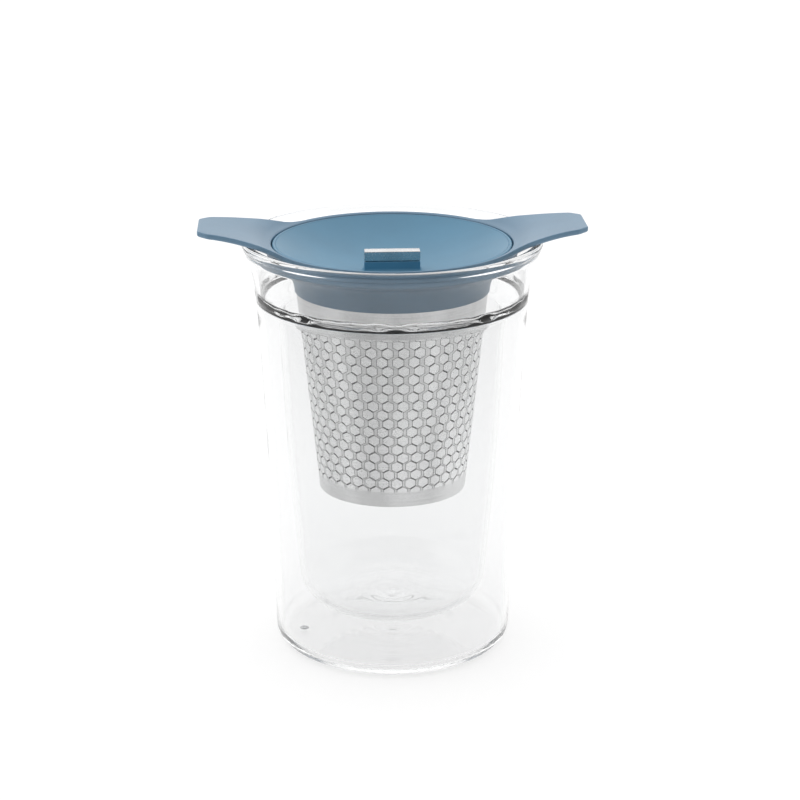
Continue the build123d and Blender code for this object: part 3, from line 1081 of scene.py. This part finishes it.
def tab_rings():
    """The grip's tab from its rounded root up to the tongue inside the cap."""
    rings = []

    def ring(grow, height_at):
        corner = max(TAB_SOFTNESS + grow, MIN_CORNER)
        plan = soft_box(cap_width + 2 * grow, cap_thickness + 2 * grow, corner, steps=6)
        rings.append([Vector((p.x, p.y, height_at(p.length))) for p in plan])

    ring(TAB_ROOT, lambda r: dish_height(r) - TAB_SINK)
    for k in range(9):
        way = polar(90 * k / 8)
        lift = TAB_ROOT * (1 - way.x)
        ring(TAB_ROOT * (1 - way.y), lambda r: dish_height(r) + lift)
    for k in range(5):
        way = polar(90 * k / 4)
        level = cap_low.z - TAB_SOFTNESS * (1 - way.y)
        ring(TAB_SOFTNESS * (way.x - 1), lambda r: level)
    ring(-TONGUE_INSET, lambda r: cap_low.z)
    ring(-TONGUE_INSET, lambda r: cap_high.z - TONGUE_INSET)
    return rings


def make_lid():
    """A moulded dish with a rounded rim, and the grip's tab rising from its middle."""
    vertices, faces = joined(lathe(lid_section()), stacked(tab_rings()))
    made = mesh_object("lid", vertices, faces)
    crease(made, degrees=50)
    made.data.materials.append(
        plastic_material("lid_plastic", linear(*LID_COLOUR), LID_ROUGHNESS))
    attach(made, "lid")
    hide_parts("lid_dish")


def make_cap():
    """The folded steel cap over the tab's top, with soft edges, open below."""
    low = cap_low.z + CAP_SHADOW
    high = cap_high.z
    rings = []

    def ring(grow, height):
        corner = max(CAP_CORNER + grow, MIN_CORNER)
        plan = soft_box(cap_width + 2 * grow, cap_thickness + 2 * grow, corner, steps=4)
        rings.append([Vector((p.x, p.y, height)) for p in plan])

    ring(-CAP_WALL, high - CAP_WALL)
    ring(-CAP_WALL, low)
    ring(-CAP_CHAMFER, low)
    ring(0, low + CAP_CHAMFER)
    for a in (0, 18, 36, 54, 72, 90):
        way = polar(a)
        ring(CAP_FOLD * (way.x - 1), high - CAP_FOLD * (1 - way.y))
    vertices, faces = stacked(rings)
    made = mesh_object("steel_cap", vertices, faces)
    crease(made, degrees=40)
    made.data.materials.append(steel_material(CAP_BRUSH, *CAP_FINISH))
    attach(made, "lid")
    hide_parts("grip_cap")


# ---------------------------------------------------------------- studio
def make_floor():
    """A pale floor, lit from below as on a light table. It dims away from the object."""
    mesh = bpy.data.meshes.new("floor")
    sides = ((-1, -1), (1, -1), (1, 1), (-1, 1))
    mesh.from_pydata([(x * FLOOR_HALF, y * FLOOR_HALF, 0) for x, y in sides], [], [(0, 1, 2, 3)])
    floor = bpy.data.objects.new("floor", mesh)
    bpy.context.collection.objects.link(floor)
    floor.location.z = -FLOOR_SINK
    made, tree, shader = material("paper")
    shader.inputs["Base Color"].default_value = (FLOOR_GREY, FLOOR_GREY, FLOOR_GREY, 1)
    shader.inputs["Roughness"].default_value = 0.9
    shader.inputs["Specular IOR Level"].default_value = 0.1
    shader.inputs["Emission Color"].default_value = (1.0, 1.0, 1.0, 1)
    place = node(tree, "ShaderNodeTexCoord").outputs["Object"]
    across, depth, _ = node(tree, "ShaderNodeSeparateXYZ", in_0=place).outputs
    wider = maths(tree, "MULTIPLY", maths(tree, "MAXIMUM", depth, 0.0), FLOOR_WIDENS)
    aside = maths(tree, "SUBTRACT", maths(tree, "ABSOLUTE", across), wider)
    outside = maths(tree, "MAXIMUM", aside, maths(tree, "MULTIPLY", depth, -1.0))
    glow = spread(tree, outside, *FLOOR_FADE, FLOOR_GLOW, FLOOR_DIM)
    tree.links.new(glow, shader.inputs["Emission Strength"])
    mesh.materials.append(made)


def make_world():
    """A white studio, dark behind the camera, with a softbox overhead and a dimmer right side."""
    world = bpy.data.worlds.new("studio")
    bpy.context.scene.world = world
    world.use_nodes = True
    tree = world.node_tree
    tree.nodes.clear()
    way = node(tree, "ShaderNodeTexCoord").outputs["Generated"]
    right, back, height = node(tree, "ShaderNodeSeparateXYZ", in_0=way).outputs
    behind = spread(tree, back, *BEHIND_FADE, 0, 1)
    overhead = spread(tree, height, *OVERHEAD_FADE, 0, 1)
    lit = maths(tree, "MAXIMUM", behind, overhead)
    sky = ramp(tree, lit, [(0.0, WORLD_DARK), (1.0, 1.0)])
    side = spread(tree, right, *RIGHT_FADE, 1.0, WORLD_RIGHT)
    strength = maths(tree, "MULTIPLY", side, WORLD_LIGHT)
    background = node(tree, "ShaderNodeBackground", Color=sky, Strength=strength)
    node(tree, "ShaderNodeOutputWorld", Surface=background.outputs[0])


def set_picture():
    """Plain colours, and enough bounces for light to pass through all the faces of glass."""
    scene = bpy.context.scene
    scene.view_settings.view_transform = "Standard"
    scene.view_settings.look = "None"
    cycles = scene.cycles
    cycles.max_bounces = 40
    cycles.transmission_bounces = 40
    cycles.glossy_bounces = 32
    cycles.diffuse_bounces = 6
    cycles.transparent_max_bounces = 16
    cycles.use_denoising = True


make_camera()
make_glass()
make_vent_drop()
make_collar()
make_basket()
dress_basket_floor()
make_lid()
make_cap()
make_floor()
make_world()
set_picture()
